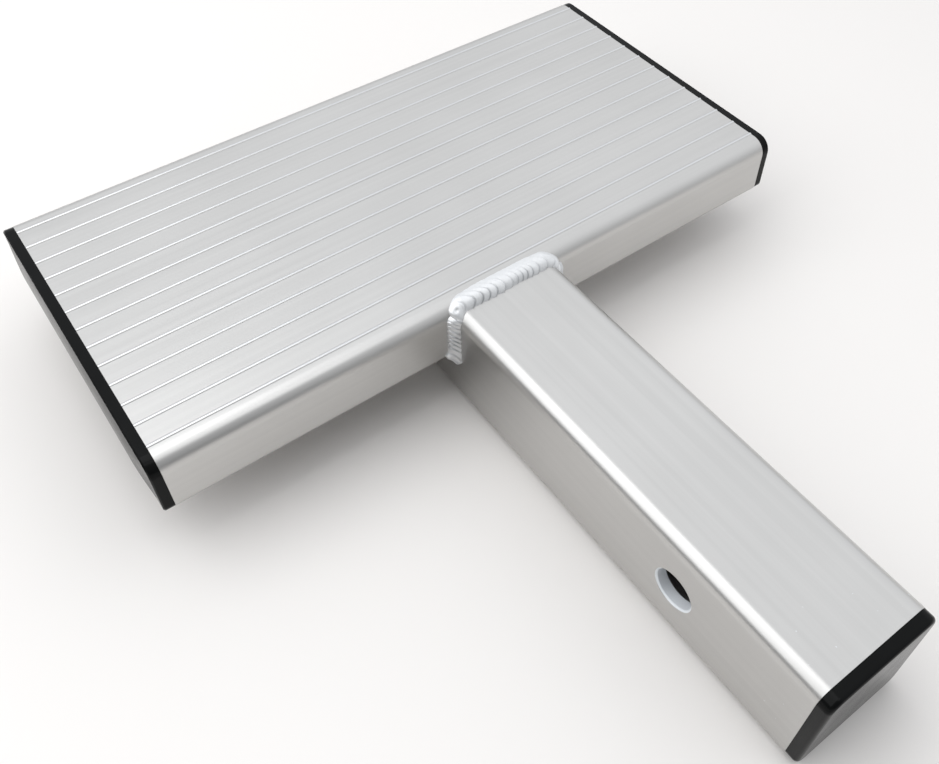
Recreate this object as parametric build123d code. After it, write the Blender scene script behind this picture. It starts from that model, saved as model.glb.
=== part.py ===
"""Hitch receiver step: a ridged aluminium tread welded into a notch in a square shank tube.

Sizes are in millimetres. The origin is the centre of the pin hole, on the axis of the shank tube.
+X runs along the tread, the free end of the shank points to -Y, and +Z is up.
"""
import os
from math import cos, floor, radians, sin, sqrt, tan

from build123d import *

# Shank: square aluminium tube that slides into a hitch receiver
tube_side = 50.8
tube_wall = 4.76
tube_outer_radius = 5.5
tube_inner_radius = 1.0
pin_to_tube_end = 58.0
pin_to_tread = 130.0
tongue_length = 127.0
pin_hole_diameter = 16.6
pin_hole_chamfer = 0.75

# Tread: hollow aluminium extrusion with grip ridges along its top
tread_length = 297.2
tread_depth = 152.4
tread_height = 28.6
tread_rise = 3.2
tread_wall = 3.2
tread_top_radius = 7.0
tread_bottom_radius = 4.0
web_count = 3
web_thickness = 3.2
chamber_radius = 2.0
ridge_pitch = 11.11
ridge_width = 1.6
ridge_height = 0.4
ridge_to_rounding = 2.0

# Moulded end caps: a flange that covers the end, domed on the tread's, and finned plugs that grip inside
cap_inset = 0.15
plug_clearance = 0.15
plug_wall = 2.0
fin_height = 1.6
fin_thickness = 1.2
fin_pitch = 5.0
fin_count = 2
fin_corner_gap = 2.5
tread_flange = 4.4
tread_flange_bevel = 0.6
tread_cap_rim = 1.0
tread_cap_dome = 1.4
tread_cap_dome_slope = 13.0
tube_flange = 5.0
tube_flange_round = 1.8

# Weld beads in the corners between tube and tread, rippled where they are seen
ripple_pitch = 3.4
ripple_groove = 0.8
ripple_depth = 0.3
ripple_lean = 52.0
bead_end_angles = (65, 36, 0)
top_bead_radius = 6.0
top_bead_throat = 2.4
top_bead_end_inside_tube = 3.2
side_bead_radius = 4.9
side_bead_throat = 3.8
side_bead_start_below_tube_top = 3.0
side_bead_tail_above_underside = 0.7
under_bead_from_face = 12.0
under_bead_from_tongue_end = 10.0

# Places that follow from the sizes above
tube_half = tube_side / 2
tube_inside = tube_side - 2 * tube_wall
tread_half = tread_length / 2
tread_front = pin_to_tread
tube_length = pin_to_tube_end + tread_front + tongue_length
tread_top = tube_half + tread_rise
tread_bottom = tread_top - tread_height
tread_mid_y = tread_front + tread_depth / 2
tread_mid_z = (tread_top + tread_bottom) / 2
chamber_count = web_count + 1
chamber_width = (tread_depth - 2 * tread_wall - web_count * web_thickness) / chamber_count
chamber_height = tread_height - 2 * tread_wall
chamber_pitch = chamber_width + web_thickness
plug_depth = fin_count * fin_pitch
half_right = cos(radians(45))
top_bead_length = tube_side - 2 * top_bead_end_inside_tube
side_bead_sunk = (side_bead_radius - side_bead_throat) * half_right


def tread_outline(inset):
    """Section of the tread without its ridges, shrunk by an inset: depth along X and height along Y."""
    outline = Rectangle(tread_depth - 2 * inset, tread_height - 2 * inset)
    outline = fillet(outline.vertices().group_by(Axis.Y)[-1], tread_top_radius - inset)
    return fillet(outline.vertices().group_by(Axis.Y)[0], tread_bottom_radius - inset)


def on_tread_end(sketch, x):
    """Sets a sketch of the tread's section upright at a place along the tread, with its normal along +X."""
    return Plane((x, tread_mid_y, tread_mid_z), x_dir=(0, 1, 0), z_dir=(1, 0, 0)) * sketch


def on_tube_end(sketch, y):
    """Sets a sketch of the tube's section upright at a place along the tube, with its normal along -Y."""
    return Plane((0, y, 0), x_dir=(1, 0, 0), z_dir=(0, -1, 0)) * sketch


def chamber_places():
    """Centres of the tread's chambers, measured along its depth from the middle."""
    return [(index - (chamber_count - 1) / 2) * chamber_pitch for index in range(chamber_count)]


def tread_extrusion():
    """Hollow plank: rounded outline with round-topped ridges, less a row of chambers between webs."""
    flat = tread_depth - 2 * (tread_top_radius + ridge_to_rounding)
    ridge_count = floor(flat / ridge_pitch) + 1
    ridge_radius = (ridge_width ** 2 / 4 + ridge_height ** 2) / (2 * ridge_height)
    ridge_centre = tread_height / 2 + ridge_height - ridge_radius
    section = tread_outline(0)
    for index in range(ridge_count):
        place = (index - (ridge_count - 1) / 2) * ridge_pitch
        section += Pos(place, ridge_centre) * Circle(ridge_radius)
    for place in chamber_places():
        section -= Pos(place, 0) * RectangleRounded(chamber_width, chamber_height, chamber_radius)
    return extrude(on_tread_end(section, -tread_half), tread_length)


def shank_tube():
    """Square tube, cut away above the tread's underside and cross-drilled for the hitch pin."""
    section = RectangleRounded(tube_side, tube_side, tube_outer_radius)
    section -= RectangleRounded(tube_inside, tube_inside, tube_inner_radius)
    tube = extrude(on_tube_end(section, tread_front + tongue_length), tube_length)
    notch = Box(tube_side, tongue_length, tube_side, align=(Align.CENTER, Align.MIN, Align.MIN))
    tube -= Pos(0, tread_front, tread_bottom) * notch
    radius = pin_hole_diameter / 2
    tube -= Rot(0, 90, 0) * Cylinder(radius, tube_side)
    mouth_align = (Align.CENTER, Align.CENTER, Align.MAX)
    mouth = Cone(radius, radius + pin_hole_chamfer, pin_hole_chamfer, align=mouth_align)
    for turn in (90, -90):
        tube -= Rot(0, turn, 0) * Pos(0, 0, tube_half) * mouth
    return tube


def finned_plug(width, height):
    """Hollow plug that points down from the XY plane, with fins on its sides that reach the given size."""
    reach_width = width - 2 * plug_clearance
    reach_height = height - 2 * plug_clearance
    core_width = reach_width - 2 * fin_height
    core_height = reach_height - 2 * fin_height
    hollow = Rectangle(core_width - 2 * plug_wall, core_height - 2 * plug_wall)
    core = Rectangle(core_width, core_height) - hollow
    fin = Rectangle(reach_width, core_height - 2 * fin_corner_gap)
    fin += Rectangle(core_width - 2 * fin_corner_gap, reach_height)
    fin -= hollow
    plug = extrude(core, -plug_depth)
    for index in range(fin_count):
        plug += Pos(0, 0, -(index + 1) * fin_pitch) * extrude(fin, fin_thickness)
    return plug


def low_dome(length, height):
    """Dome on the YZ plane that rises to +X: an arc across its height, with ends that slope."""
    half = length / 2
    arc = ThreePointArc((0, -height / 2), (tread_cap_dome, 0), (0, height / 2))
    across = make_face([arc, Line(arc @ 1, arc @ 0)])
    flat_half = half - tread_cap_dome_slope
    crest = [(tread_cap_dome, -flat_half), (tread_cap_dome, flat_half)]
    along = Polyline((0, -half), *crest, (0, half), close=True)
    return extrude(Plane.XZ * across, half, both=True) & extrude(make_face(along), height / 2, both=True)


def tread_cap():
    """Cap for the tread's +X end: a bevelled flange with one finned plug for each chamber.

    Its dome ends where the flange's corners start to round, so that it stays on the flange.
    """
    flange = extrude(on_tread_end(tread_outline(cap_inset), tread_half), tread_flange)
    flange = chamfer(flange.faces().sort_by(Axis.X)[-1].edges(), tread_flange_bevel)
    border = 2 * (cap_inset + tread_flange_bevel + tread_cap_rim)
    dome = low_dome(tread_depth - 2 * tread_top_radius, tread_height - border)
    cap = flange + Pos(tread_half + tread_flange, tread_mid_y, tread_mid_z) * dome
    plug = finned_plug(chamber_width, chamber_height)
    for place in chamber_places():
        cap += on_tread_end(Pos(place, 0) * plug, tread_half)
    return cap


def shank_cap():
    """Cap for the tube's free end: a soft-edged square flange with one finned plug."""
    side = tube_side - 2 * cap_inset
    outline = RectangleRounded(side, side, tube_outer_radius - cap_inset)
    flange = extrude(on_tube_end(outline, -pin_to_tube_end), tube_flange)
    flange = fillet(flange.faces().sort_by(Axis.Y)[0].edges(), tube_flange_round)
    plug = finned_plug(tube_inside, tube_inside)
    return flange + on_tube_end(plug, -pin_to_tube_end)


def smooth_bead(length, radius):
    """Bead along +X, turned from a profile whose ends step down in two tapers to a small flat."""
    angles = [radians(angle) for angle in bead_end_angles]
    start = [(-radius * sin(angle), radius * cos(angle)) for angle in angles]
    end = [(length - x, y) for x, y in reversed(start)]
    profile = Polyline((start[0][0], 0), *start, *end, (end[-1][0], 0), close=True)
    return revolve(make_face(profile), Axis.X)


def rippled_bead(length, radius):
    """Smooth bead with a row of shallow grooves cut between its ripples.

    The grooves lean, so that the ripples bow forward on +Y as the edges of weld puddles do.
    """
    upright = cos(radians(ripple_lean))
    reach = radius * tan(radians(ripple_lean))
    first = -reach / 4
    count = floor((length - reach - ripple_groove - first) / ripple_pitch) + 1
    slab = Rot(0, 0, -ripple_lean) * Box(ripple_groove * upright, 3 * radius / upright, 2 * radius)
    slab -= Rot(0, 90, 0) * Cylinder(radius - ripple_depth, 4 * reach)
    return smooth_bead(length, radius) - [Pos(first + i * ripple_pitch, 0, 0) * slab for i in range(count)]


def in_corner(bead, start, along, crown):
    """Lays a bead from a start point with its crown facing out, and trims it to tread and uncut tube."""
    bead = Plane(start, x_dir=along, z_dir=Vector(along).cross(Vector(crown))) * bead
    bead -= extrude(on_tread_end(tread_outline(0), -tread_half), tread_length)
    outline = RectangleRounded(tube_side, tube_side, tube_outer_radius)
    return bead - extrude(on_tube_end(outline, tread_front + tongue_length), tube_length)


def across_top(bead):
    """Lays a bead across the tube's top, in the corner below the tread's rounding."""
    tuck = max(tread_top_radius - tread_rise, 0)
    corner_y = tread_front + tread_top_radius - sqrt(tread_top_radius ** 2 - tuck ** 2)
    sunk = (top_bead_radius - top_bead_throat) * half_right
    start = (-top_bead_length / 2, corner_y + sunk, tube_half - sunk)
    return in_corner(bead, start, (1, 0, 0), (0, -1, 1))


def side_weld():
    """Bead up the tube's -X side, from a tail below the tread's edge into the top bead's end."""
    tail = tread_bottom + side_bead_tail_above_underside
    length = tube_half - side_bead_start_below_tube_top - tail
    start = (side_bead_sunk - tube_half, tread_front + side_bead_sunk, tail)
    bead = in_corner(smooth_bead(length, side_bead_radius), start, (0, 0, 1), (-1, -1, 0))
    return bead - across_top(smooth_bead(top_bead_length, top_bead_radius))


def under_weld():
    """Bead along the tongue's -X side, in the corner below the tread."""
    length = tongue_length - under_bead_from_face - under_bead_from_tongue_end
    start_y = tread_front + under_bead_from_face
    start = (side_bead_sunk - tube_half, start_y, tread_bottom + side_bead_sunk)
    return in_corner(smooth_bead(length, side_bead_radius), start, (0, 1, 0), (-1, 0, -1))


right_cap = tread_cap()
top_bead = across_top(rippled_bead(top_bead_length, top_bead_radius))
side_bead = side_weld()
under_bead = under_weld()
nodes = {
    "tread": tread_extrusion(),
    "shank_tube": shank_tube(),
    "tread_cap_right": right_cap,
    "tread_cap_left": mirror(right_cap, Plane.YZ),
    "shank_cap": shank_cap(),
    "weld_top": top_bead,
    "weld_left": side_bead,
    "weld_right": mirror(side_bead, Plane.YZ),
    "weld_under_left": under_bead,
    "weld_under_right": mirror(under_bead, Plane.YZ),
}

os.makedirs("parts", exist_ok=True)
for name, solid in nodes.items():
    export_step(solid, f"parts/{name}.step")
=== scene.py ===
"""Looks of a hitch receiver step: satin aluminium tread and tube, frosted weld beads, black plastic caps.

Lengths are written in millimetres and turned to metres where they meet Blender. The frame is the part's own:
origin at the centre of the pin hole, +X along the tread, +Y from the shank's free end to the tread, +Z up.
"""

import bpy
import numpy as np
from mathutils import Matrix, Vector


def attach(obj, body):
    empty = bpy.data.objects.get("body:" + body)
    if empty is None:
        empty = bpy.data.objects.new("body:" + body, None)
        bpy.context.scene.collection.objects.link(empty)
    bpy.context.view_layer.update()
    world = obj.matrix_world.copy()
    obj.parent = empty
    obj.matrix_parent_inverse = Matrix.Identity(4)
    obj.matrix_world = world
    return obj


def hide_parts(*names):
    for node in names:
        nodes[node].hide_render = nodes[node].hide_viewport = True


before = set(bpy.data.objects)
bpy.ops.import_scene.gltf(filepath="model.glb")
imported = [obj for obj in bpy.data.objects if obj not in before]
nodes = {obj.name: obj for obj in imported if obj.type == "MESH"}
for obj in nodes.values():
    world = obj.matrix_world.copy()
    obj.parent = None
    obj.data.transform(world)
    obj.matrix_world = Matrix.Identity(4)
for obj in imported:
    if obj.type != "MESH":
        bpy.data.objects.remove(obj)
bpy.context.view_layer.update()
MM = 0.001

# Picture and camera, matched to the photograph's edges
IMAGE_WIDTH, IMAGE_HEIGHT = 939, 764
FOCAL_PX = 983.8
CENTRE_PX = (501.3, 333.75)
EYE = (-166.45, -88.20, 312.76)
CAMERA_TURN = (2.327, -0.764, 0.294)
SENSOR_WIDTH = 36.0

# Sizes that the looks share with the solids
TUBE_HALF = 25.4
TUBE_ROUNDING = 5.5
TUBE_END = -58.0
TREAD_FRONT = 130.0
TREAD_TOP = 28.6
TREAD_BOTTOM = 0.0
RIDGE_HEIGHT = 0.4
PIN_HOLE_RADIUS = 8.3

# Weld beads: radius, how far the axis lies inside the tube and the tread, and where beads start and end
TOP_BEAD_RADIUS, TOP_BEAD_BELOW_TUBE_TOP, TOP_BEAD_BEHIND_FACE = 6.0, 2.55, 3.67
SIDE_BEAD_RADIUS, SIDE_BEAD_SUNK = 4.9, 0.78
CORNER_CROWN_RADIUS = 8.0
SIDE_BEAD_TAIL = -1.2
UNDER_BEAD_START, UNDER_BEAD_END = 138.0, 251.0
POINTS_ROUND_BEAD = 96

# Sizes of the patterns in the materials, and how far from the tube's end its nicks are dense and are gone
TONE_CLOUD = 55
TREAD_DIE_LINES = (240, 2.2, 2.2)
TUBE_DIE_LINES = (2.2, 200, 2.2)
METAL_GRAIN = 0.5
NICK_SIZE = 1.5
NICKS_DENSE, NICKS_GONE = 14, 34
WELD_FROST = 0.9
PLASTIC_GRAIN = 0.6
PLASTIC_PATCH = 12

# Solids' meshes: points closer than this are one, and edges sharper than this stay corners
MERGE_WITHIN = 0.002
CORNER_DEGREES = 30

# Studio, in metres
FLOOR_HALF = 6.0
FLOOR_BELOW_PART = 0.0002
LAMP_COLOUR = "#fdfeff"


def linear(hex_colour):
    """Turns an sRGB hex colour to linear RGBA."""
    srgb = np.array([int(hex_colour[i:i + 2], 16) for i in (1, 3, 5)]) / 255
    rgb = np.where(srgb <= 0.04045, srgb / 12.92, ((srgb + 0.055) / 1.055) ** 2.4)
    return (*rgb, 1.0)


def add(tree, kind, inputs=None, **settings):
    """Adds a node, sets its properties and fills its inputs: a socket is linked, anything else is a value."""
    node = tree.nodes.new(kind)
    for name, value in settings.items():
        setattr(node, name, value)
    for name, value in (inputs or {}).items():
        if isinstance(value, bpy.types.NodeSocket):
            tree.links.new(value, node.inputs[name])
        else:
            node.inputs[name].default_value = value
    return node


def new_material(name):
    """Empty node material: the material, its tree, its output and its Object coordinates."""
    material = bpy.data.materials.new(name)
    material.use_nodes = True
    tree = material.node_tree
    tree.nodes.clear()
    output = add(tree, "ShaderNodeOutputMaterial")
    return material, tree, output, add(tree, "ShaderNodeTexCoord").outputs["Object"]


def extruded_aluminium(name, line_mm, worn_end=None, ridge_top=None, drilled=None):
    """Aluminium, extruded and clear anodised: an even satin grey. Broad clouds shift its tone by a shade, die
    lines run along it as faint streaks of gloss, and a few bright nicks show where it is handled.

    Ridge tops are rubbed a little smoother by shoes, and painted a little paler as a highlight along each
    ridge. The free end of the shank is nicked by the receiver. The wall of the drilled hole is torn, so it is
    rougher and matt; its pale, bluish colour is painted light that stands for the light falling into the
    bore."""
    material, tree, output, place = new_material(name)
    cloud_at = add(tree, "ShaderNodeMapping", {"Vector": place, "Scale": (1 / (TONE_CLOUD * MM),) * 3})
    cloud = add(tree, "ShaderNodeTexNoise", {"Vector": cloud_at.outputs[0], "Scale": 1.0, "Detail": 2.0})
    line_at = add(tree, "ShaderNodeMapping", {"Vector": place, "Scale": [1 / (mm * MM) for mm in line_mm]})
    lines = add(tree, "ShaderNodeTexNoise", {"Vector": line_at.outputs[0], "Scale": 1.0, "Detail": 3.0})
    lines = lines.outputs["Fac"]
    grain_at = add(tree, "ShaderNodeMapping", {"Vector": place, "Scale": (1 / (METAL_GRAIN * MM),) * 3})
    grain = add(tree, "ShaderNodeTexNoise", {"Vector": grain_at.outputs[0], "Scale": 1.0, "Detail": 2.0})
    tone = add(tree, "ShaderNodeMix", {"Factor": cloud.outputs["Fac"], "A": linear("#c0bfbd"),
                                       "B": linear("#cac9c7")}, data_type="RGBA")
    streak = add(tree, "ShaderNodeMapRange", {"Value": lines, "From Min": 0.3, "From Max": 0.7,
                                              "To Min": 0.97, "To Max": 1.03})
    colour = add(tree, "ShaderNodeMix", {"Factor": 1.0, "A": tone.outputs["Result"],
                                         "B": streak.outputs["Result"]},
                 data_type="RGBA", blend_type="MULTIPLY").outputs["Result"]
    roughness = add(tree, "ShaderNodeMapRange", {"Value": lines, "From Min": 0.25, "From Max": 0.75,
                                                 "To Min": 0.32, "To Max": 0.38}).outputs["Result"]
    metallic = 1.0
    axes = add(tree, "ShaderNodeSeparateXYZ", {"Vector": place})
    if ridge_top is not None:
        # Ridge tops: smoother where rubbed by shoes, and painted paler as a highlight along each ridge
        rubbed_and_painted_highlight = add(tree, "ShaderNodeMapRange", {"Value": axes.outputs["Z"],
                                                  "From Min": (ridge_top - 0.25) * MM,
                                                  "From Max": ridge_top * MM},
                     interpolation_type="SMOOTHSTEP").outputs["Result"]
        colour = add(tree, "ShaderNodeMix", {"Factor": rubbed_and_painted_highlight, "A": colour, "B": linear("#d3d4d5")},
                     data_type="RGBA").outputs["Result"]
        roughness = add(tree, "ShaderNodeMix", {"Factor": rubbed_and_painted_highlight, "A": roughness, "B": 0.30})
        roughness = roughness.outputs["Result"]
    if worn_end is not None:
        nick_at = add(tree, "ShaderNodeMapping", {"Vector": place, "Scale": (1 / (NICK_SIZE * MM),) * 3})
        nick = add(tree, "ShaderNodeTexNoise", {"Vector": nick_at.outputs[0], "Scale": 1.0, "Detail": 1.0})
        spot = add(tree, "ShaderNodeMapRange", {"Value": nick.outputs["Fac"], "From Min": 0.76,
                                                "From Max": 0.80})
        reach = add(tree, "ShaderNodeMapRange", {"Value": axes.outputs["Y"],
                                                 "From Min": (worn_end + NICKS_GONE) * MM,
                                                 "From Max": (worn_end + NICKS_DENSE) * MM},
                    interpolation_type="SMOOTHSTEP")
        nicked = add(tree, "ShaderNodeMath", {0: spot.outputs["Result"], 1: reach.outputs["Result"]},
                     operation="MULTIPLY").outputs[0]
        colour = add(tree, "ShaderNodeMix", {"Factor": nicked, "A": colour, "B": linear("#dfe1e3")},
                     data_type="RGBA").outputs["Result"]
        roughness = add(tree, "ShaderNodeMix", {"Factor": nicked, "A": roughness, "B": 0.6})
        roughness = roughness.outputs["Result"]
    if drilled is not None:
        # Bore wall: rougher and less metallic where torn by the drill, and painted a pale bluish grey that
        # stands for the light falling on it
        flat = add(tree, "ShaderNodeMapping", {"Vector": place, "Scale": (0, 1, 1)})
        away = add(tree, "ShaderNodeVectorMath", {0: flat.outputs[0]}, operation="LENGTH")
        torn_wall_and_painted_light = add(tree, "ShaderNodeMapRange", {"Value": away.outputs["Value"],
                                                "From Min": (drilled + 0.7) * MM,
                                                "From Max": (drilled + 0.5) * MM}).outputs["Result"]
        colour = add(tree, "ShaderNodeMix", {"Factor": torn_wall_and_painted_light, "A": colour, "B": linear("#eef2f6")},
                     data_type="RGBA").outputs["Result"]
        roughness = add(tree, "ShaderNodeMix", {"Factor": torn_wall_and_painted_light, "A": roughness, "B": 0.6}).outputs["Result"]
        metallic = add(tree, "ShaderNodeMapRange", {"Value": torn_wall_and_painted_light, "To Min": 1.0, "To Max": 0.2})
        metallic = metallic.outputs["Result"]
    relief = add(tree, "ShaderNodeMath", {0: lines, 1: grain.outputs["Fac"]}, operation="ADD")
    bump = add(tree, "ShaderNodeBump", {"Height": relief.outputs[0], "Strength": 0.08, "Distance": 0.05 * MM})
    shader = add(tree, "ShaderNodeBsdfPrincipled", {"Base Color": colour, "Metallic": metallic,
                                                    "Roughness": roughness,
                                                    "Normal": bump.outputs["Normal"]})
    tree.links.new(shader.outputs["BSDF"], output.inputs["Surface"])
    return material


def weld_metal():
    """Aluminium filler, melted and frozen in ripples: paler than the tube, with a frosted skin, and a grey
    line of painted shade in each step between ripples, where the step's shadow falls."""
    material, tree, output, place = new_material("aluminium_weld_as_laid")
    frost_at = add(tree, "ShaderNodeMapping", {"Vector": place, "Scale": (1 / (WELD_FROST * MM),) * 3})
    frost = add(tree, "ShaderNodeTexNoise", {"Vector": frost_at.outputs[0], "Scale": 1.0, "Detail": 4.0})
    frost = frost.outputs["Fac"]
    tone = add(tree, "ShaderNodeMix", {"Factor": frost, "A": linear("#d6d7d8"), "B": linear("#e8e9ea")},
               data_type="RGBA")
    # Painted shade: a darker grey in each step between ripples, where the step's shadow falls, read from the
    # bead's points
    painted_step_shade = add(tree, "ShaderNodeAttribute", attribute_name="painted_step_shade").outputs["Fac"]
    step_shade_strength = add(tree, "ShaderNodeMath", {0: painted_step_shade, 1: 0.8}, operation="MULTIPLY").outputs[0]
    colour = add(tree, "ShaderNodeMix", {"Factor": step_shade_strength, "A": tone.outputs["Result"], "B": linear("#96999c")},
                 data_type="RGBA").outputs["Result"]
    roughness = add(tree, "ShaderNodeMapRange", {"Value": frost, "From Min": 0.3, "From Max": 0.7,
                                                 "To Min": 0.36, "To Max": 0.48})
    bump = add(tree, "ShaderNodeBump", {"Height": frost, "Strength": 0.2, "Distance": 0.1 * MM})
    shader = add(tree, "ShaderNodeBsdfPrincipled", {"Base Color": colour, "Metallic": 0.7,
                                                    "Roughness": roughness.outputs["Result"],
                                                    "Normal": bump.outputs["Normal"]})
    tree.links.new(shader.outputs["BSDF"], output.inputs["Surface"])
    return material


def moulded_plastic():
    """Polyethylene, injection moulded in black: a deep satin black with a very fine sparked grain, which
    turns grey only where it is seen at a glancing angle."""
    material, tree, output, place = new_material("black_polyethylene_moulded")
    grain_at = add(tree, "ShaderNodeMapping", {"Vector": place, "Scale": (1 / (PLASTIC_GRAIN * MM),) * 3})
    grain = add(tree, "ShaderNodeTexNoise", {"Vector": grain_at.outputs[0], "Scale": 1.0, "Detail": 3.0})
    grain = grain.outputs["Fac"]
    patch_at = add(tree, "ShaderNodeMapping", {"Vector": place, "Scale": (1 / (PLASTIC_PATCH * MM),) * 3})
    patch = add(tree, "ShaderNodeTexNoise", {"Vector": patch_at.outputs[0], "Scale": 1.0, "Detail": 3.0})
    patch = patch.outputs["Fac"]
    tone = add(tree, "ShaderNodeMix", {"Factor": patch, "A": linear("#080909"), "B": linear("#0f1010")},
               data_type="RGBA")
    roughness = add(tree, "ShaderNodeMapRange", {"Value": patch, "From Min": 0.3, "From Max": 0.7,
                                                 "To Min": 0.16, "To Max": 0.22})
    bump = add(tree, "ShaderNodeBump", {"Height": grain, "Strength": 0.10, "Distance": 0.1 * MM})
    shader = add(tree, "ShaderNodeBsdfPrincipled", {"Base Color": tone.outputs["Result"],
                                                    "Specular IOR Level": 0.09,
                                                    "Roughness": roughness.outputs["Result"],
                                                    "Normal": bump.outputs["Normal"]})
    tree.links.new(shader.outputs["BSDF"], output.inputs["Surface"])
    return material


def shade_by_angle(obj, degrees):
    """Shows a solid's facets as smooth curves and keeps its corners sharp: joins the loose triangles, shades
    them smooth, splits the edges that are sharper than the angle, and lets large flats keep their normals."""
    weld_points = obj.modifiers.new("weld", "WELD")
    weld_points.merge_threshold = MERGE_WITHIN * MM
    group = bpy.data.node_groups.get("shade_smooth")
    if group is None:
        group = bpy.data.node_groups.new("shade_smooth", "GeometryNodeTree")
        group.interface.new_socket("Geometry", in_out="INPUT", socket_type="NodeSocketGeometry")
        group.interface.new_socket("Geometry", in_out="OUTPUT", socket_type="NodeSocketGeometry")
        given = add(group, "NodeGroupInput").outputs["Geometry"]
        smooth = add(group, "GeometryNodeSetShadeSmooth", {"Geometry": given})
        add(group, "NodeGroupOutput", {"Geometry": smooth.outputs["Geometry"]})
    obj.modifiers.new("smooth", "NODES").node_group = group
    split = obj.modifiers.new("corners", "EDGE_SPLIT")
    split.split_angle = np.radians(degrees)
    flats = obj.modifiers.new("flats", "WEIGHTED_NORMAL")
    flats.weight = 100


def ease(value, low, high):
    """Smooth step: 0 below the low limit, 1 above the high one, and 3t^2 - 2t^3 between them."""
    t = np.clip((value - low) / (high - low), 0, 1)
    return t * t * (3 - 2 * t)


def crowded_angles(count):
    """Angles once round a bead, as a row: t - 0.6 sin t, which crowds them on the crown at 0."""
    t = np.linspace(-np.pi, np.pi, count, endpoint=False)
    return (t - 0.6 * np.sin(t))[None, :]


def ripples(along, angle, pitch, bow, depth, middle=0.0):
    """Relief of a weld's ripples, in millimetres, and how much painted shade each point gets, from 0 to 1, by
    the place along the weld's crown and the angle from the crown.

    Each ripple is the edge of a frozen puddle. It bows forward in the middle of what shows, by
    bow * (1 - cos(angle - middle)). The pitch wanders by two sines. Within a pitch the height climbs and then
    drops in the last sixth of it. Every puddle has its own height, spreads its own way over the tube and
    shows its own finer ripples, by sines of its number. Painted shade lies in the step between two puddles,
    where its shadow falls, by smooth steps on both sides of it, thickest on the crown by a bell curve of the
    angle."""
    bow = bow * (1 + 0.25 * np.sin(along / (2.1 * pitch)))
    bowed = along + bow * (1 - np.cos(np.clip(angle - middle, -1.3, 1.3)))
    turn = bowed / pitch + 0.42 * np.sin(bowed / (1.9 * pitch) + 0.6) + 0.20 * np.sin(bowed / (0.9 * pitch))
    number = np.floor(turn)
    part = turn - number
    climb = part ** 0.6 * (1 - ease(part, 0.84, 1.0))
    height = 1.0 + 0.3 * np.sin(number * 12.9898)
    spread = 0.6 * np.sin(number * 7.31 + 1.0) * np.exp(-((angle - 0.35) / 0.35) ** 2)
    fine = 0.07 * np.sin(2 * np.pi * 3 * part) * ease(np.sin(number * 3.7), 0.0, 0.4)
    # Painted shade in the step between two puddles, where the step's shadow falls
    painted_step_shade = np.maximum(ease(part, 0.68, 0.97), 1 - ease(part, 0.0, 0.2)) * np.exp(-((angle - 0.15) / 0.5) ** 2)
    painted_step_shade = painted_step_shade * (0.6 + 0.4 * np.sin(np.round(turn) * 5.3 + 0.4))
    return depth * (climb * (height + spread + fine) - 0.7), painted_step_shade


def closed_rings(name, grid, tips, painted_step_shade):
    """Mesh of rings of points, each joined to the next, with the first and last closed on a clean tip."""
    rows, ring = grid.shape[:2]
    index = np.arange(rows * ring).reshape(rows, ring)
    here, after = index[:-1], index[1:]
    quads = np.stack([here, np.roll(here, -1, 1), np.roll(after, -1, 1), after], -1).reshape(-1, 4)
    first = np.stack([np.full(ring, rows * ring), np.roll(index[0], -1), index[0]], -1)
    last = np.stack([np.full(ring, rows * ring + 1), index[-1], np.roll(index[-1], -1)], -1)
    points = np.concatenate([grid.reshape(-1, 3), tips]) * MM
    mesh = bpy.data.meshes.new(name)
    mesh.from_pydata(points.tolist(), [], quads.tolist() + first.tolist() + last.tolist())
    mesh.polygons.foreach_set("use_smooth", np.ones(len(mesh.polygons), bool))
    # The painted shade of the steps is kept on the points, with none on the two tips
    mesh.attributes.new("painted_step_shade", "FLOAT", "POINT").data.foreach_set("value", np.append(painted_step_shade, (0.0, 0.0)))
    piece = bpy.data.objects.new(name, mesh)
    bpy.context.scene.collection.objects.link(piece)
    return piece


def bead_rings(centre, forward, crown, distance, angle):
    """Points round a path: centre + distance * (cos angle * crown + sin angle * side).

    The side direction is forward x crown."""
    side = np.cross(forward, crown)
    return (centre[:, None] + (distance * np.cos(angle))[..., None] * crown[:, None]
            + (distance * np.sin(angle))[..., None] * side[:, None])


def bead_section(radius, angle, back_radius, bare=70, buried=120):
    """Distance of a bead's skin from its axis, and how much of it shows, from 0 to 1.

    It is the bead's radius on the crown and a smaller one where it is buried, and eases between the two
    angles, in degrees."""
    hidden = ease(np.abs(angle), np.radians(bare), np.radians(buried))
    return radius + (back_radius - radius) * hidden, 1 - hidden


def round_ends(place, length, reach):
    """Factor that closes both ends of a bead as a ball does: sqrt(1 - t * t), t growing over the reach."""
    t = np.clip(np.maximum(reach - place, place - length + reach) / reach, 0, 1)
    return np.sqrt(1 - t * t)


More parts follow.
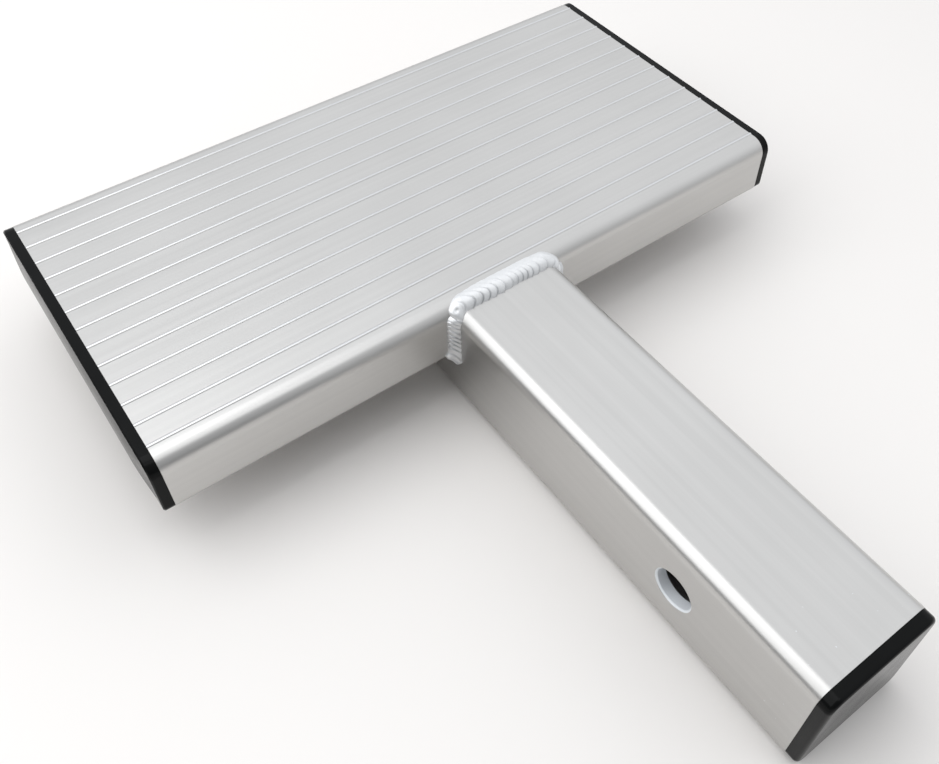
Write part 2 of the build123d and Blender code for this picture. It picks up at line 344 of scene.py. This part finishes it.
def corner_to_corner_bead(name, turn_left, turn_right, rows=760):
    """Bead across the tube's top that bends down over its two rounded edges.

    The axis is a straight run between the centres of the roundings, and past each a turn about that centre.
    By the turned angle, its distance from the centre, its place along the tube and its radius ease from the
    top bead's values to the side bead's, and the left turn is a little thicker than the right one. The bead's
    crown stays halfway between the outward normal and -Y. The ripples fade at both ends and on the tread's
    side, where a feather of metal runs up the rounding. A dimple is left where the torch stopped."""
    pivot = TUBE_HALF - TUBE_ROUNDING
    left = CORNER_CROWN_RADIUS * np.radians(turn_left)
    right = CORNER_CROWN_RADIUS * np.radians(turn_right)
    whole = left + 2 * pivot + right
    place = np.linspace(0, whole, rows)
    past_left = np.clip(left - place, 0, None)
    past_right = np.clip(place - left - 2 * pivot, 0, None)
    turn = (past_left - past_right) / CORNER_CROWN_RADIUS
    eased = ease(np.abs(turn), 0, np.pi / 2)
    away = (TUBE_ROUNDING - TOP_BEAD_BELOW_TUBE_TOP) * (1 - eased) + (TUBE_ROUNDING - SIDE_BEAD_SUNK) * eased
    behind = TOP_BEAD_BEHIND_FACE * (1 - eased) + SIDE_BEAD_SUNK * eased
    radius = TOP_BEAD_RADIUS * (1 - eased) + SIDE_BEAD_RADIUS * eased
    radius = radius + 0.35 * ease(turn, 0.2, 0.9) - 0.3 * ease(-turn, 0.0, 0.8)
    centre_x = np.clip(place - left, 0, 2 * pivot) - pivot
    centre = np.stack([centre_x - away * np.sin(turn), TREAD_FRONT + behind, pivot + away * np.cos(turn)], -1)
    nought = np.zeros(rows)
    forward = np.stack([np.cos(turn), nought, np.sin(turn)], -1)
    crown = np.stack([-np.sin(turn), nought - 1, np.cos(turn)], -1) / np.sqrt(2)
    angle = crowded_angles(POINTS_ROUND_BEAD)
    section, shown = bead_section(radius[1:-1, None], angle, back_radius=2.0, bare=80, buried=125)
    path = place[1:-1, None]
    relief, painted_step_shade = ripples(path, angle, pitch=3.4, bow=12.0, depth=0.52, middle=-0.16)
    fade = ease(path, 5.0, 9.0) * (1 - ease(path, whole - 6, whole - 2))
    fade = fade * (1 - 0.85 * ease(-angle, 0.3, 0.9))
    feather = 0.7 * ease(-angle, 0.9, 1.6) * ease(path, 8, 18) * (1 - ease(path, whole - 18, whole - 8))
    dimple = 0.35 * np.exp(-((path - 4.6) / 0.8) ** 2 - ((angle + 0.25) / 0.14) ** 2)
    distance = section + shown * (relief * fade + feather - dimple)
    distance = distance * round_ends(path, whole, reach=3.0)
    grid = bead_rings(centre[1:-1], forward[1:-1], crown[1:-1], distance, angle)
    return closed_rings(name, grid, centre[[0, -1]], painted_step_shade * fade)


def upright_bead(name, sign, radius, top, rows=420):
    """Bead up a side of the tube, straight along +Z, with a tail that spreads along the tread's lower edge.

    On the tread's side the skin swells near the tail by a bell curve of the height. On the crown and on the
    tube's side the tail hangs lower, by a smooth step of the angle."""
    length = top - SIDE_BEAD_TAIL
    place = np.linspace(0, length, rows)
    nought = np.zeros(rows)
    inside = sign * (TUBE_HALF - SIDE_BEAD_SUNK)
    front = nought + TREAD_FRONT + SIDE_BEAD_SUNK
    centre = np.stack([nought + inside, front, SIDE_BEAD_TAIL + place], -1)
    forward = np.stack([nought, nought, nought + 1], -1)
    crown = np.stack([nought + sign, nought - 1, nought], -1) / np.sqrt(2)
    angle = crowded_angles(POINTS_ROUND_BEAD)
    path = place[1:-1, None]
    towards_tube = angle * -sign
    section, shown = bead_section(radius, angle, back_radius=2.6)
    relief, painted_step_shade = ripples(path, towards_tube, pitch=2.4, bow=6.0, depth=0.42, middle=-0.35)
    fade = ease(path, 0.5, 2.5)
    swell = 1.5 * np.exp(-((path - 4.2) / 2.0) ** 2) * ease(-towards_tube, 0.1, 0.6)
    distance = (section + shown * (relief * fade + swell)) * round_ends(path, length, reach=2.4)
    grid = bead_rings(centre[1:-1], forward[1:-1], crown[1:-1], distance, angle)
    grid[..., 2] -= 2.6 * ease(towards_tube, -0.5, 0.3) * (1 - ease(path, 0.0, 7.0))
    tips = centre[[0, -1]] - [[0, 0, 1.0], [0, 0, 0]]
    return closed_rings(name, grid, tips, painted_step_shade * fade)


def level_bead(name, sign, rows=620):
    """Bead along the tongue, straight along +Y in the corner below the tread, with ripples that fade at its
    ends."""
    length = UNDER_BEAD_END - UNDER_BEAD_START
    place = np.linspace(0, length, rows)
    nought = np.zeros(rows)
    inside = sign * (TUBE_HALF - SIDE_BEAD_SUNK)
    level = nought + TREAD_BOTTOM + SIDE_BEAD_SUNK
    centre = np.stack([nought + inside, UNDER_BEAD_START + place, level], -1)
    forward = np.stack([nought, nought + 1, nought], -1)
    crown = np.stack([nought + sign, nought, nought - 1], -1) / np.sqrt(2)
    angle = crowded_angles(POINTS_ROUND_BEAD)
    path = place[1:-1, None]
    section, shown = bead_section(SIDE_BEAD_RADIUS, angle, back_radius=2.0)
    relief, painted_step_shade = ripples(path, angle, pitch=2.9, bow=3.0, depth=0.38)
    fade = ease(path, 2.0, 5.0) * (1 - ease(path, length - 5, length - 2))
    distance = (section + shown * relief * fade) * round_ends(path, length, reach=4.0)
    grid = bead_rings(centre[1:-1], forward[1:-1], crown[1:-1], distance, angle)
    return closed_rings(name, grid, centre[[0, -1]], painted_step_shade * fade)


def lay_bead(piece, node):
    """Puts a weld surface in place of the solid bead."""
    piece.data.materials.append(weld)
    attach(piece, "root")
    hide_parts(node)


tread_metal = extruded_aluminium("anodised_aluminium_extruded_tread", TREAD_DIE_LINES,
                                 ridge_top=TREAD_TOP + RIDGE_HEIGHT)
tube_metal = extruded_aluminium("anodised_aluminium_extruded_tube", TUBE_DIE_LINES, worn_end=TUBE_END,
                                drilled=PIN_HOLE_RADIUS)
weld = weld_metal()
plastic = moulded_plastic()
for node_name, material in (("tread", tread_metal), ("shank_tube", tube_metal), ("tread_cap_left", plastic),
                            ("tread_cap_right", plastic), ("shank_cap", plastic)):
    node = nodes[node_name]
    node.data.materials.clear()
    node.data.materials.append(material)
    shade_by_angle(node, CORNER_DEGREES)

lay_bead(corner_to_corner_bead("weld_bead_top", turn_left=66, turn_right=70), "weld_top")
lay_bead(upright_bead("weld_bead_left", -1, radius=4.7, top=25.0), "weld_left")
lay_bead(upright_bead("weld_bead_right", 1, radius=4.4, top=24.0), "weld_right")
lay_bead(level_bead("weld_bead_under_left", -1), "weld_under_left")
lay_bead(level_bead("weld_bead_under_right", 1), "weld_under_right")

# Floor, pale and matt, so that it keeps the part's shadow
floor_material, tree, output, place = new_material("pale_paper_sweep")
paper = add(tree, "ShaderNodeBsdfDiffuse", {"Color": linear("#f0edea"), "Roughness": 0.0})
tree.links.new(paper.outputs["BSDF"], output.inputs["Surface"])
floor_mesh = bpy.data.meshes.new("floor")
floor_z = -TUBE_HALF * MM - FLOOR_BELOW_PART
floor_corners = [(x * FLOOR_HALF, y * FLOOR_HALF, floor_z) for x, y in ((-1, -1), (1, -1), (1, 1), (-1, 1))]
floor_mesh.from_pydata(floor_corners, [], [(0, 1, 2, 3)])
floor = bpy.data.objects.new("floor", floor_mesh)
bpy.context.scene.collection.objects.link(floor)
floor_mesh.materials.append(floor_material)

# Soft studio light: a room that is palest overhead and behind the part, and dimmer low down and on the
# camera's side, and two softboxes, one that leans in from the left and one overhead
world = bpy.data.worlds.new("studio")
bpy.context.scene.world = world
world.use_nodes = True
sky = world.node_tree
sky.nodes.clear()
direction = add(sky, "ShaderNodeTexCoord").outputs["Generated"]
height = add(sky, "ShaderNodeSeparateXYZ", {"Vector": direction}).outputs["Z"]
level = add(sky, "ShaderNodeMapRange", {"Value": height, "From Min": 0.10, "From Max": 0.55,
                                        "To Min": 0.70, "To Max": 1.0}, interpolation_type="SMOOTHSTEP")
behind = add(sky, "ShaderNodeVectorMath", {0: direction, 1: (0.90, 0.44, 0.0)}, operation="DOT_PRODUCT")
window = add(sky, "ShaderNodeMapRange", {"Value": behind.outputs["Value"], "From Min": -0.6, "From Max": 0.5,
                                         "To Min": 0.35, "To Max": 1.20}, interpolation_type="SMOOTHSTEP")
light = add(sky, "ShaderNodeMath", {0: level.outputs["Result"], 1: window.outputs["Result"]},
            operation="MULTIPLY")
room = add(sky, "ShaderNodeBackground", {"Color": linear("#f6f8fb"), "Strength": light.outputs[0]})
add(sky, "ShaderNodeOutputWorld", {"Surface": room.outputs["Background"]})


def softbox(name, centre, aim, size, radiance):
    """Rectangular area lamp that faces a point. Its power is pi * area * radiance."""
    lamp = bpy.data.lights.new(name, "AREA")
    lamp.shape = "RECTANGLE"
    lamp.size, lamp.size_y = size
    lamp.energy = np.pi * size[0] * size[1] * radiance
    lamp.color = linear(LAMP_COLOUR)[:3]
    obj = bpy.data.objects.new(name, lamp)
    obj.location = centre
    obj.rotation_euler = (Vector(aim) - Vector(centre)).to_track_quat("-Z", "Y").to_euler()
    bpy.context.scene.collection.objects.link(obj)


softbox("left_softbox", (-0.70, 0.58, 1.20), aim=(0.0, 0.58, 0.0), size=(1.35, 2.1), radiance=1.70)
softbox("overhead_softbox", (0.10, -0.38, 1.4), aim=(0.10, -0.1, 0.0), size=(0.5, 0.4), radiance=1.75)

camera = bpy.data.cameras.new("camera")
camera.sensor_width = SENSOR_WIDTH
camera.lens = FOCAL_PX * SENSOR_WIDTH / IMAGE_WIDTH
camera.shift_x = (IMAGE_WIDTH / 2 - CENTRE_PX[0]) / IMAGE_WIDTH
camera.shift_y = (CENTRE_PX[1] - IMAGE_HEIGHT / 2) / IMAGE_WIDTH
camera.clip_start = 0.01
turn = Matrix.Rotation(Vector(CAMERA_TURN).length, 3, Vector(CAMERA_TURN))
camera_object = bpy.data.objects.new("camera", camera)
axes = Matrix((turn[0], -turn[1], -turn[2])).transposed()
camera_object.matrix_world = Matrix.Translation(Vector(EYE) * MM) @ axes.to_4x4()
bpy.context.scene.collection.objects.link(camera_object)
bpy.context.scene.camera = camera_object
bpy.context.scene.view_settings.view_transform = "Standard"
